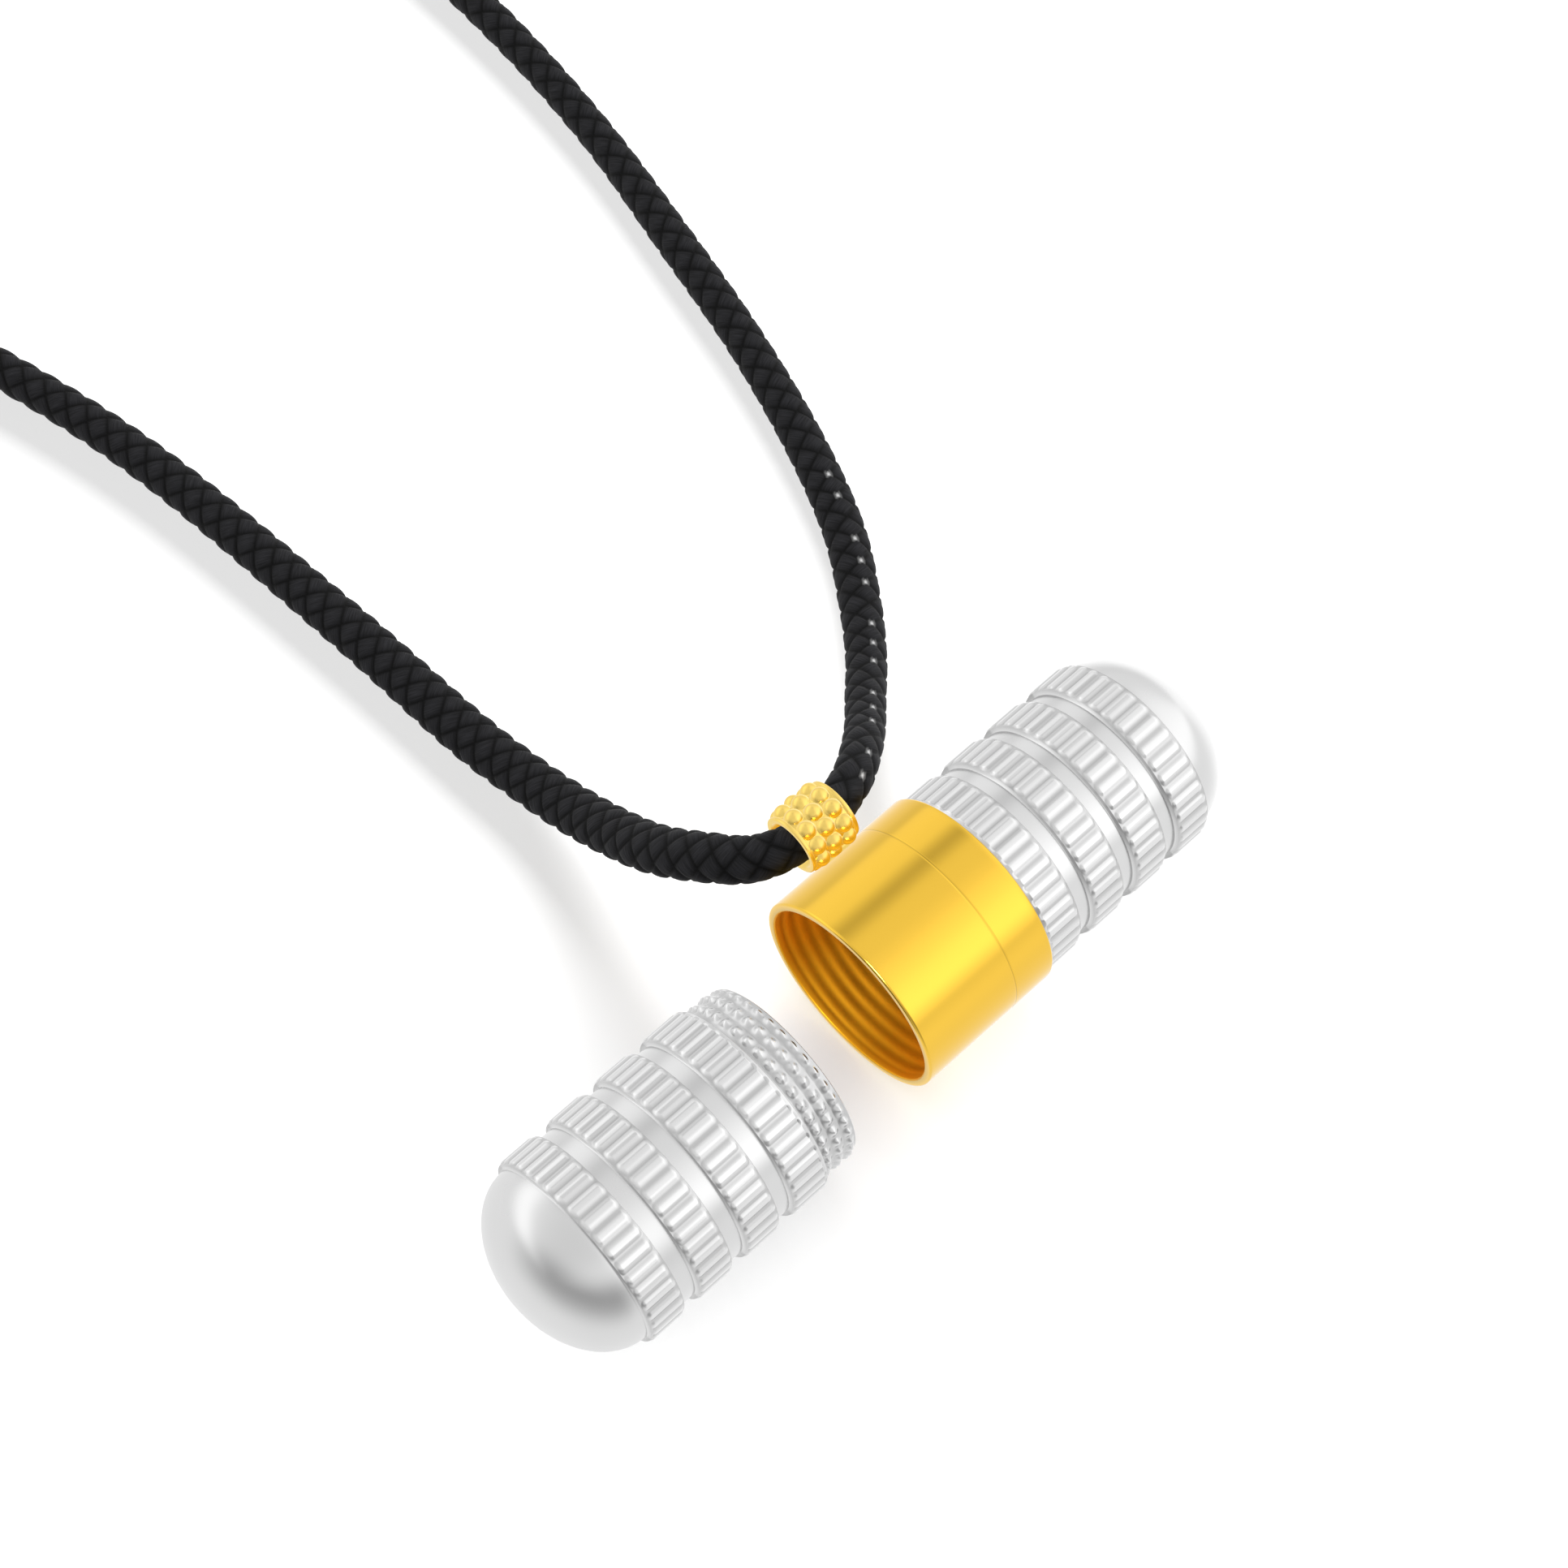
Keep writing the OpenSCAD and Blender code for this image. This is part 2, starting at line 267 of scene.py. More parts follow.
def add_node(tree, kind, *inputs, **settings):
    """A shader node with its inputs linked or set in order."""
    node = tree.nodes.new(kind)
    for name, value in settings.items():
        setattr(node, name, value)
    for socket, value in zip(node.inputs, inputs):
        feed(tree, socket, value)
    return node


def light_ramp(tree, angle, stops):
    """The brightness for an angle given as a share of a turn."""
    ramp = add_node(tree, "ShaderNodeValToRGB", angle)
    ramp.color_ramp.interpolation = "CARDINAL"
    elements = ramp.color_ramp.elements
    elements.remove(elements[1])
    for k, (degrees, level) in enumerate(stops):
        stop = elements[0] if k == 0 else elements.new((degrees + 180) / 360)
        grey = level / LIGHT_SCALE
        stop.color = (grey, grey, grey, 1)
    elements[0].position = 0
    return ramp.outputs["Color"]


def smooth_range(tree, value, low, high, out_low=0.0, out_high=1.0):
    """The value's way from low to high, eased at both ends."""
    node = add_node(tree, "ShaderNodeMapRange", value, low, high, out_low, out_high)
    node.interpolation_type = "SMOOTHSTEP"
    return node.outputs["Result"]


def math_node(tree, operation, *values):
    """The result of an operation on linked or plain numbers."""
    return add_node(tree, "ShaderNodeMath", *values, operation=operation).outputs[0]


def mix_colours(tree, share, first, second):
    """The first colour giving way to the second as the share goes from 0 to 1."""
    node = tree.nodes.new("ShaderNodeMix")
    node.data_type = "RGBA"
    colours = [socket for socket in node.inputs if socket.type == "RGBA"]
    for socket, value in zip((node.inputs["Factor"], *colours), (share, first, second)):
        feed(tree, socket, value)
    return [socket for socket in node.outputs if socket.type == "RGBA"][0]


def light_studio():
    """A white tent: a soft strip high on the near side, a window at the far left, a dark left end."""
    world = bpy.data.worlds.new("studio")
    bpy.context.scene.world = world
    world.use_nodes = True
    tree = world.node_tree
    tree.nodes.clear()
    place = add_node(tree, "ShaderNodeTexCoord")
    split = add_node(tree, "ShaderNodeSeparateXYZ", place.outputs["Generated"])
    x, y, z = split.outputs
    turn = math_node(tree, "ARCTAN2", z, y)
    angle = add_node(tree, "ShaderNodeMapRange", turn, -math.pi, math.pi).outputs["Result"]
    lists = (LEFT_LIGHT, MIDDLE_LIGHT, RIGHT_LIGHT)
    left, middle, right = (light_ramp(tree, angle, stops) for stops in lists)
    end_x, end_y = (math_node(tree, "MULTIPLY", way, part) for way, part in zip((x, y), DARK_END))
    towards = smooth_range(tree, math_node(tree, "ADD", end_x, end_y), *DARK_FADE, 0.0, DARK_SHARE)
    level = smooth_range(tree, math_node(tree, "ABSOLUTE", z), 0.0, DARK_RISE, 1.0, 0.0)
    share = math_node(tree, "SUBTRACT", 1.0, math_node(tree, "MULTIPLY", towards, level))
    left = add_node(tree, "ShaderNodeVectorMath", left, None, None, share, operation="SCALE").outputs[0]
    light = mix_colours(tree, smooth_range(tree, x, *LEFT_TO_MIDDLE), left, middle)
    light = mix_colours(tree, smooth_range(tree, x, *MIDDLE_TO_RIGHT), light, right)
    background = add_node(tree, "ShaderNodeBackground", light, LIGHT_SCALE)
    add_node(tree, "ShaderNodeOutputWorld", background.outputs[0])


def add_lamp(name, towards, size, power):
    """A round soft lamp in the given direction from the frame's origin, facing it."""
    data = bpy.data.lights.new(name, "AREA")
    data.shape = "DISK"
    data.size = size
    data.energy = power
    lamp = add_object(name, data)
    way = Vector(towards).normalized()
    facing = way.to_track_quat("Z", "Y").to_matrix().to_4x4()
    lamp.matrix_world = Matrix.Translation(way * LAMP_DISTANCE) @ facing
    return lamp


def link_lamp(lamp, lit, shading=None):
    """Lets the lamp light only some pieces, and only some cast its shadow."""
    def group(name, pieces):
        chosen = bpy.data.collections.new(lamp.name + name)
        for piece in pieces:
            chosen.objects.link(piece)
        return chosen

    lamp.light_linking.receiver_collection = group("_lights", lit)
    if shading:
        lamp.light_linking.blocker_collection = group("_shaded_by", shading)


def add_floor():
    """A wide pale floor with a faint gloss, which the metal doesn't mirror."""
    turns = [TURN * k / FLOOR_SIDES for k in range(FLOOR_SIDES)]
    points = [(FLOOR_R * math.cos(t), FLOOR_R * math.sin(t), 0) for t in turns]
    mesh = bpy.data.meshes.new("floor")
    mesh.from_pydata(points, [], [list(range(FLOOR_SIDES))])
    floor = add_object("floor", mesh)
    material, shader = new_material("floor_white", [FLOOR_GREY] * 3, FLOOR_ROUGHNESS)
    shader.inputs["Specular IOR Level"].default_value = FLOOR_GLOSS
    mesh.materials.append(material)
    floor.visible_glossy = False
    return floor


# Materials

def new_material(name, colour, roughness, metallic=0.0):
    """A plain material, and its shader to work on."""
    material = bpy.data.materials.new(name)
    material.use_nodes = True
    shader = material.node_tree.nodes["Principled BSDF"]
    shader.inputs["Base Color"].default_value = (*colour, 1)
    shader.inputs["Roughness"].default_value = roughness
    shader.inputs["Metallic"].default_value = metallic
    return material, shader


def fine_relief(tree, shader, place, scale, distortion, strength, height):
    """Noise, stretched by scale, as a fine relief in the shader's normal. Returns the noise."""
    stretch = tree.nodes.new("ShaderNodeMapping")
    stretch.inputs["Scale"].default_value = scale
    noise = tree.nodes.new("ShaderNodeTexNoise")
    noise.inputs["Scale"].default_value = 1
    noise.inputs["Detail"].default_value = 3
    noise.inputs["Distortion"].default_value = distortion
    bump = tree.nodes.new("ShaderNodeBump")
    bump.inputs["Strength"].default_value = strength
    bump.inputs["Distance"].default_value = height
    tree.links.new(place, stretch.inputs["Vector"])
    tree.links.new(stretch.outputs["Vector"], noise.inputs["Vector"])
    tree.links.new(noise.outputs["Fac"], bump.inputs["Height"])
    tree.links.new(bump.outputs["Normal"], shader.inputs["Normal"])
    return noise.outputs["Fac"]


def polished(name, colour, roughness, spread, grain, wear, recess_shade):
    """Polished metal: roughness that varies a little, hair-fine handling marks in its normal, and a
    painted highlight on its crests with painted shade in its recesses.
    """
    material, shader = new_material(name, colour, roughness, 1.0)
    nodes, links = material.node_tree.nodes, material.node_tree.links
    place = nodes.new("ShaderNodeTexCoord").outputs["Object"]
    cloud = nodes.new("ShaderNodeTexNoise")
    cloud.inputs["Scale"].default_value = CLOUD_SCALE
    cloud.inputs["Detail"].default_value = 1
    level = nodes.new("ShaderNodeMapRange")
    level.inputs["From Min"].default_value = CLOUD_RANGE[0]
    level.inputs["From Max"].default_value = CLOUD_RANGE[1]
    level.inputs["To Min"].default_value = roughness
    level.inputs["To Max"].default_value = roughness + spread
    links.new(place, cloud.inputs["Vector"])
    links.new(cloud.outputs["Fac"], level.inputs["Value"])
    links.new(level.outputs["Result"], shader.inputs["Roughness"])
    fine_relief(material.node_tree, shader, place, grain, 0.0, wear, MARK_HEIGHT)
    # Painted highlight on the crests and painted shade in the recesses, by the depth in the recess
    # attribute
    if recess_shade < 1:
        depth = nodes.new("ShaderNodeAttribute")
        depth.attribute_name = "recess"
        tone = nodes.new("ShaderNodeValToRGB")
        tone.color_ramp.elements[0].color = (*(c * CREST_PAINTED_HIGHLIGHT for c in colour), 1)
        tone.color_ramp.elements[1].color = (*(c * recess_shade for c in colour), 1)
        links.new(depth.outputs["Fac"], tone.inputs["Fac"])
        links.new(tone.outputs["Color"], shader.inputs["Base Color"])
    return material


def braided():
    """Black braid: filaments along each strand, painted shade in its valleys, and painted glint dots in
    places.
    """
    material, shader = new_material("black_braid", (0.005, 0.005, 0.005), BRAID_ROUGHNESS)
    shader.inputs["Specular IOR Level"].default_value = BRAID_GLOSS
    tree = material.node_tree
    place = add_node(tree, "ShaderNodeUVMap", uv_map="strand").outputs["UV"]
    filaments = fine_relief(tree, shader, place, FILAMENT_SCALE, 0.3, 0.8, FILAMENT_HEIGHT)
    tone = add_node(tree, "ShaderNodeValToRGB", filaments)
    for stop, (position, tint) in zip(tone.color_ramp.elements, FILAMENT_TONES):
        stop.position = position
        stop.color = tint
    colour = tone.outputs["Color"]
    # Painted shade in the valleys and pale painted glint dots, mixed over the filament tones
    for name, grey in (("valley_shade", VALLEY_SHADE_GREY), ("painted_glint", PAINTED_GLINT_GREY)):
        share = add_node(tree, "ShaderNodeAttribute", attribute_name=name).outputs["Fac"]
        colour = mix_colours(tree, share, colour, (grey, grey, grey, 1))
    tree.links.new(colour, shader.inputs["Base Color"])
    return material


# Mesh helpers

def add_mesh(name, points, faces, material):
    """A smooth mesh object from points in mm and faces, with its normals facing out."""
    points = np.asarray(points, float)
    mesh = bpy.data.meshes.new(name)
    mesh.from_pydata((points * MM).tolist(), [], faces)
    fans = [(f[0], f[k], f[k + 1]) for f in faces for k in range(1, len(f) - 1)]
    a, b, c = (points[[fan[k] for fan in fans]] for k in range(3))
    if np.einsum("ij,ij->i", a, np.cross(b, c)).sum() < 0:
        mesh.flip_normals()
    mesh.polygons.foreach_set("use_smooth", [True] * len(mesh.polygons))
    mesh.materials.append(material)
    return add_object(name, mesh)


def mark(piece, name, values):
    """A number for each point of the piece, which its material reads by name."""
    layer = piece.data.attributes.new(name, "FLOAT", "POINT")
    layer.data.foreach_set("value", np.asarray(values, np.float32))


def bridge(a, na, b, nb):
    """Faces between a ring of na points from index a and a ring of nb points from index b.

    One count is a multiple of the other.
    """
    if na < nb:
        return [face[::-1] for face in bridge(b, nb, a, na)]
    m, faces = na // nb, []
    for j in range(nb):
        near = [a + (m * j + i) % na for i in range(m + 1)]
        left, right = b + j, b + (j + 1) % nb
        if m == 1:
            faces.append([near[0], near[1], right, left])
            continue
        half = m // 2
        faces += [[near[i], near[i + 1], left] for i in range(half)]
        faces.append([near[half], right, left])
        faces += [[near[i], near[i + 1], right] for i in range(half, m)]
    return faces


def lathe(name, rings, place, material, recess=None, inner_material=None, inside=None):
    """A closed skin through rings of (count, radius, along), where radius may be a list for the points.

    A first or last ring of radius 0 closes in a point. Otherwise the last ring joins the first.
    recess(radius, along) says how deep a point lies among its neighbours, from 0 to 1.
    Faces whose points are all inside, by inside(radius, along), take the inner material.
    """
    points, starts, faces = [], [], []
    for count, radius, along in rings:
        starts.append(len(points))
        if np.ndim(radius) == 0 and radius == 0:
            points.append((along, 0, 0))
            continue
        angle = np.arange(count) * TURN / count
        ring = np.stack([along + 0 * angle, radius * np.cos(angle), radius * np.sin(angle)], 1)
        points += ring.tolist()
    starts.append(len(points))
    count = [starts[k + 1] - starts[k] for k in range(len(rings))]
    pairs = [(k, k + 1) for k in range(len(rings) - 1)]
    if count[0] > 1:
        pairs.append((len(rings) - 1, 0))
    for k, n in pairs:
        if count[k] == 1 or count[n] == 1:
            tip, ring = (k, n) if count[k] == 1 else (n, k)
            size = count[ring]
            fan = [[starts[tip], starts[ring] + j, starts[ring] + (j + 1) % size] for j in range(size)]
            faces += fan if tip == k else [f[::-1] for f in fan]
        else:
            faces += [f[::-1] for f in bridge(starts[k], count[k], starts[n], count[n])]
    points = np.array(points)
    piece = add_mesh(name, place(points), faces, material)
    radius, along = np.hypot(points[:, 1], points[:, 2]), points[:, 0]
    if recess:
        mark(piece, "recess", recess(radius, along))
    if inner_material:
        piece.data.materials.append(inner_material)
        within = inside(radius, along)
        piece.data.polygons.foreach_set("material_index", [bool(within[face].all()) for face in faces])
    return piece


def smooth_step(x):
    """A step from 0 to 1 that is level at both ends."""
    x = np.clip(x, 0, 1)
    return x * x * (3 - 2 * x)


def arc(centre, radius, first, last, steps):
    """Points (radius, along) of an arc round centre, between two angles in degrees.

    An angle of 0 points away from the axis, and one of 90 along it.
    """
    turn = np.radians(np.linspace(first, last, steps + 1))
    return [(centre[0] + radius * math.cos(t), centre[1] + radius * math.sin(t)) for t in turn]


def placed_at(x, y, z):
    """What moves points to the given place in mm."""
    return lambda points: points + np.array((x, y, z))


def middle(node):
    """The middle of a node's box in mm."""
    low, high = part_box(node)
    return (low + high) / 2 / MM


# Cord

def spline(points, steps):
    """The smooth curve through the points, which the part's own tube follows too."""
    p = np.asarray(points, float)
    p = np.vstack([2 * p[0] - p[1], p, 2 * p[-1] - p[-2]])
    t = np.linspace(0, 1, steps, endpoint=False)[:, None]
    spans = [
        (2 * b + (c - a) * t + (2 * a - 5 * b + 4 * c - d) * t**2 + (3 * b - a - 3 * c + d) * t**3) / 2
        for a, b, c, d in zip(p, p[1:], p[2:], p[3:])
    ]
    return np.vstack([*spans, p[-2:-1]])


def stations_of_braid(line, count):
    """The line with its points at even steps of the braid, which are shorter where it is pushed wider.

    Returns the points, each one's distance along the line, and how long the braid would be in mm if
    it were pushed nowhere.
    """
    spans = np.linalg.norm(np.diff(line[:, :3], axis=0), axis=1)
    wider = (line[1:, 3] + line[:-1, 3]) / 2 / CORD_D
    travel = np.concatenate([[0], np.cumsum(spans)])
    braid = np.concatenate([[0], np.cumsum(spans * wider)])
    at = np.linspace(0, braid[-1], count)
    points = np.stack([np.interp(at, braid, column) for column in line.T], 1)
    return points, np.interp(at, braid, travel), braid[-1]


def untwisted(line):
    """A sideways direction at each point that doesn't turn about the line, and the line's direction."""
    along = np.gradient(line, axis=0)
    along /= np.linalg.norm(along, axis=1)[:, None]
    side = np.zeros_like(line)
    side[0] = np.cross(along[0], (0, 0, 1))
    for k in range(1, len(line)):
        side[k] = side[k - 1] - along[k] * np.dot(side[k - 1], along[k])
        side[k] /= np.linalg.norm(side[k])
    return side, along


def braid_height(a, b):
    """Height of the braid's surface over its valleys, from 0 to 1.

    a and b count whole steps across the two families of strands. In each crossing one strand
    is on top: round across its width and bowed along its length.
    """
    across, along = (a % BRAID_STEPS) / BRAID_STEPS, (b % BRAID_STEPS) / BRAID_STEPS
    swap = (a // BRAID_STEPS + b // BRAID_STEPS) % 2 == 1
    across, along = np.where(swap, along, across), np.where(swap, across, along)
    round_side = np.sqrt(np.clip(1 - (2 * across - 1) ** 2, 0, 1)) ** STRAND_ROUND
    bow = np.sin(np.pi * along) ** STRAND_BOW
    return round_side * (STRAND_DIP + (1 - STRAND_DIP) * bow) * (along > 0) * (across > 0)


def strand_steps(row, k):
    """How many whole steps the k-th point of a row lies across each of the two families of strands."""
    return k + (row % 2 - row) // 2, k + (row % 2 + row) // 2


def braid_faces(rows, around):
    """Diamonds from each row of points to the next two, and both ends closed round a point."""
    faces = []
    for row in range(rows - 2):
        odd = row % 2
        for k in range(around):
            left = row * around + k
            ahead = (row + 1) * around
            before, after = (k + odd - 1) % around, (k + odd) % around
            faces.append([left, ahead + after, left + 2 * around, ahead + before])
    for first, second in ((0, 1), (rows - 1, rows - 2)):
        zero, one = first * around, second * around
        odd = first % 2
        for k in range(around):
            faces.append([zero + k, zero + (k + 1) % around, one + (k + odd) % around])
    hub = rows * around
    for end, start in ((hub, 0), (hub + 1, hub - around)):
        faces += [[end, start + (k + 1) % around, start + k] for k in range(around)]
    return faces


def braided_cord(material):
    """The cord's skin, on a grid that runs along both families of strands to keep valleys crisp."""
    around = BRAID_STRANDS * BRAID_STEPS
    route = spline(CORD_ROUTE, ROUTE_STEPS)
    _, _, braid_len = stations_of_braid(route, 2)
    rows = 4 * round(braid_len / BRAID_TURN * around / 2) + 1
    stations, travel, _ = stations_of_braid(route, rows)
    line, width = stations[:, :3], stations[:, 3]
    side, along = untwisted(line)
    up = np.cross(along, side)
    j, i = np.meshgrid(np.arange(rows), np.arange(around), indexing="ij")
    twist = np.radians(np.interp(travel, *zip(*BRAID_TWIST)))
    turn = TURN * (i + 0.5 * (j % 2)) / around + twist[:, None]
    a, b = strand_steps(j, i)
    height = braid_height(a, b)
    radius = CORD_D / 2 - BRAID_RELIEF * (1 - height)
    ring = np.cos(turn)[..., None] * side[:, None] + np.sin(turn)[..., None] * up[:, None]
    level = np.cross(along, (0, 0, 1))
    level /= np.linalg.norm(level, axis=1)[:, None]
    spread = (ring * level[:, None]).sum(2) * (width / CORD_D - 1)[:, None]
    ring = ring + spread[..., None] * level[:, None]
    skin = (line[:, None] + radius[..., None] * ring).reshape(-1, 3)
    points = np.vstack([skin, line[:1], line[-1:]])
    cord = add_mesh("braided_cord", points, braid_faces(rows, around), material)
    add_strand_uv(cord.data, rows, around)
    # How deep each point lies between strands, for the painted valley shade
    mark(cord, "valley_shade", np.append((1 - height).ravel(), (1, 1)))
    # Pale painted glint dots at the crossings of one column
    mark(cord, "painted_glint", np.append(painted_glint_dots(a, b, travel).ravel(), (0, 0)))
    return cord, line, travel[-1]


def painted_glint_dots(a, b, travel):
    """Where the painted glint dots lie: at most crossings of one column."""
    near = [np.abs((steps + BRAID_STEPS // 2) % BRAID_STEPS - BRAID_STEPS // 2) for steps in (a, b)]
    spot = np.clip(1.2 - np.hypot(*near), 0, 1)
    column = np.abs((a + b) - PAINTED_GLINT_COLUMN * BRAID_STEPS) < BRAID_STEPS / 2
    hidden = (b - a) // (2 * BRAID_STEPS) % PAINTED_GLINT_PERIOD == PAINTED_GLINT_SKIPPED
    stretch = (travel > PAINTED_GLINT_STRETCH[0]) & (travel < PAINTED_GLINT_STRETCH[1])
    return spot * column * ~hidden * stretch[:, None]


def add_strand_uv(mesh, rows, around):
    """UVs in strand widths: the first number runs across the strand on top, the second along it."""
    family_shift = 0.37
    corner = np.zeros(len(mesh.loops), int)
    mesh.loops.foreach_get("vertex_index", corner)
    starts = np.zeros(len(mesh.polygons), int)
    totals = np.zeros(len(mesh.polygons), int)
    mesh.polygons.foreach_get("loop_start", starts)
    mesh.polygons.foreach_get("loop_total", totals)
    face = np.repeat(np.arange(len(starts)), totals)
    row, k = corner // around, corner % around
    a, b = strand_steps(row, k)
    low_a = np.full(len(starts), 10**9)
    low_b = np.full(len(starts), 10**9)
    first_k = k[starts][face]
    wrap = around * (first_k - k > around // 2) - around * (k - first_k > around // 2)
    a, b = a + wrap, b + wrap
    np.minimum.at(low_a, face, a)
    np.minimum.at(low_b, face, b)
    cell_a, cell_b = low_a // BRAID_STEPS, low_b // BRAID_STEPS
    swap = ((cell_a + cell_b) % 2 == 1)[face]
    u = np.where(swap, b, a) / BRAID_STEPS
    v = np.where(swap, a, b) / BRAID_STEPS
    uv = np.stack([u, v + family_shift * swap], 1)
    layer = mesh.uv_layers.new(name="strand")
    layer.data.foreach_set("uv", uv.astype(np.float32).ravel())


# Threads and ribs

def thread_height(turn, along, start, end):
    """Height of a round helical ridge from 0 to 1, which fades out towards start and end."""
    ridge = 0.5 + 0.5 * np.cos(TURN * along / THREAD_PITCH - turn)
    fade = smooth_step((along - start) / THREAD_FADE) * smooth_step((end - along) / THREAD_FADE)
    return ridge * fade


def off_crest(turn):
    """Distance in mm round the band from the middle of the nearest bar."""
    return np.abs((turn * RIBS / TURN + 0.5) % 1 - 0.5) * TURN * BAND_R / RIBS


def bar_height(turn, along, start, end):
    """Height of a band's raised bars from 0 to 1: softly rounded across, with round ends."""
    foot = BAR_FOOT / BAR_END
    beyond = max(start + foot - along, along - end + foot, 0) * BAR_END
    away = np.hypot(off_crest(turn), beyond)
    return 1 - smooth_step((away - BAR_TOP) / (BAR_FOOT - BAR_TOP))


def band_stations(start, end):
    """Places along a band's bars: close together at their ends, where they are round."""
    near = [0.0, 0.03, 0.07, 0.12, 0.18, 0.25, 0.33, 0.45]
    return [start + x for x in near] + [(start + end) / 2] + [end - x for x in near[::-1]]


def capsule_rings(ribs_turn):
    """Rings of a half from the tip of its dome, over bands and thread, to the end of its hollow."""
    many, few = RIBS * RIB_STEPS, RIBS * RIB_STEPS // 4
    turn = np.arange(many) * TURN / many
    from_bar = turn - math.radians(ribs_turn)
    foot, fillet, edge = 0.02, 0.08, 0.03
    dome_steps, hollow_steps, thread_steps = 28, 16, 32
    rings = [(1, 0, BANDS_LEN + DOME_H)]
    for k in range(dome_steps - 1, 1, -1):
        t = math.radians(90 * k / dome_steps)
        rings.append((few, GROOVE_R * math.cos(t), BANDS_LEN + DOME_H * math.sin(t)))
    for band in range(BAND_COUNT - 1, -1, -1):
        start = 0 if band == 0 else FIRST_BAND + GROOVE_W + (band - 1) * (BAND_W + GROOVE_W)
        end = FIRST_BAND if band == 0 else start + BAND_W
        bar_start = start if band > 0 else RIM_W - BAR_FOOT
        rings += [(many, GROOVE_R, end + fillet), (many, GROOVE_R, end + foot)]
        for along in band_stations(start if band > 0 else RIM_W, end)[::-1]:
            height = bar_height(from_bar, along, bar_start, end)
            rings.append((many, BAND_FLOOR_R + (BAND_R - BAND_FLOOR_R) * height, along))
        if band > 0:
            rings += [(many, GROOVE_R, start - foot), (many, GROOVE_R, start - fillet)]
        else:
            rings += [(many, RIM_R, RIM_W - edge), (many, RIM_R, edge), (many, RIM_R - edge, 0)]
    root = MALE_R - THREAD_DEPTH
    end_round = 0.08
    rings.append((many, root + 0.12, -0.02))
    flutes = THREAD_FLUTES * (0.5 - 0.5 * np.cos(from_bar * RIBS))
    for along in np.linspace(-0.1, -THREAD_LEN + end_round, thread_steps):
        ridge = thread_height(turn, along, -THREAD_LEN + 0.1, -0.12)
        rings.append((many, root + THREAD_DEPTH * ridge * (1 - flutes), along))
    lip = arc((root - end_round, -THREAD_LEN + end_round), end_round, -20, -90, 3)
    lip += arc((CAVITY_R + 0.1, -THREAD_LEN + 0.1), 0.1, -90, -180, 4)
    rings += [(few, r, t) for r, t in lip]
    inner_len = BANDS_LEN - DOME_WALL
    rings += [(few, CAVITY_R, along) for along in np.linspace(-THREAD_LEN + 0.5, inner_len, 6)]
    for k in range(1, hollow_steps):
        t = math.radians(90 * k / hollow_steps)
        rings.append((few, CAVITY_R * math.cos(t), inner_len + DOME_H * math.sin(t)))
    rings.append((1, 0, inner_len + DOME_H))
    return rings


def capsule_recess(radius, along):
    """Depth between the bars and in the thread, from 0 on their crests to 1."""
    between_bars = (BAND_R - radius) / (BAND_R - BAND_FLOOR_R)
    in_thread = (MALE_R - radius) / THREAD_DEPTH
    depth = np.where(along < 0, in_thread, between_bars)
    plain = radius < np.where(along < 0, (MALE_R + CAVITY_R) / 2, (BAND_FLOOR_R + GROOVE_R) / 2)
    return np.where(plain, PLAIN_DEPTH, np.clip(depth, 0, 1))


def in_hollow(radius, along):
    """Whether a point is on the hollow's side of the half's wall."""
    wall_r = (CAVITY_R + GROOVE_R) / 2
    dome = DOME_H * np.sqrt(np.clip(1 - (radius / wall_r) ** 2, 0, 1))
    return (radius < CAVITY_R + 0.01) & (along < BANDS_LEN - DOME_WALL / 2 + dome)


def capsule_half(name, node, facing, ribs_turn, material, inner_material):
    """A half that stands for its node. facing is +1 where its dome points along +X."""
    low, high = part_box(node)
    centre = middle(node)
    tip = (high.x if facing > 0 else low.x) / MM
    shoulder = tip - facing * (BANDS_LEN + DOME_H)

    def place(points):
        return points * (facing, 1, 1) + (shoulder, centre.y, centre.z)

    rings = capsule_rings(ribs_turn)
    half = lathe(name, rings, place, material, capsule_recess, inner_material, in_hollow)
    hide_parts(node)
    return half


# Sleeve and bail

def sleeve_rings(length):
    """Rings of the sleeve: its polished outside with a seam, two round rims, and the thread inside."""
    many, thread_steps = 360, 116
    turn = np.arange(many) * TURN / many
    half, lip, inner = length / 2, 0.14, 0.08
    before = (-half + lip, -half + 0.5, 0, SEAM_AT - 1.5 * SEAM_W, SEAM_AT - SEAM_W / 2)
    behind = (SEAM_AT + SEAM_W / 2, SEAM_AT + 1.5 * SEAM_W, half - 0.5)
    rings = [(many, SLEEVE_R, x) for x in before]
    rings.append((many, SLEEVE_R - SEAM_DEPTH, SEAM_AT))
    rings += [(many, SLEEVE_R, x) for x in behind]
    rings += [(many, r, x) for r, x in arc((SLEEVE_R - lip, half - lip), lip, 0, 90, 6)]
    rings += [(many, r, x) for r, x in arc((FEMALE_R + inner, half - inner), inner, 90, 180, 4)]
    for x in np.linspace(half - 0.2, -half + 0.2, thread_steps):
        groove = thread_height(turn, x, -half + 0.3, half - 0.3)
        rings.append((many, FEMALE_R + SLEEVE_THREAD_DEPTH * groove, x))
    rings += [(many, r, x) for r, x in arc((FEMALE_R + inner, -half + inner), inner, 180, 270, 4)]
    rings += [(many, r, x) for r, x in arc((SLEEVE_R - lip, -half + lip), lip, -90, -10, 6)]
    return rings


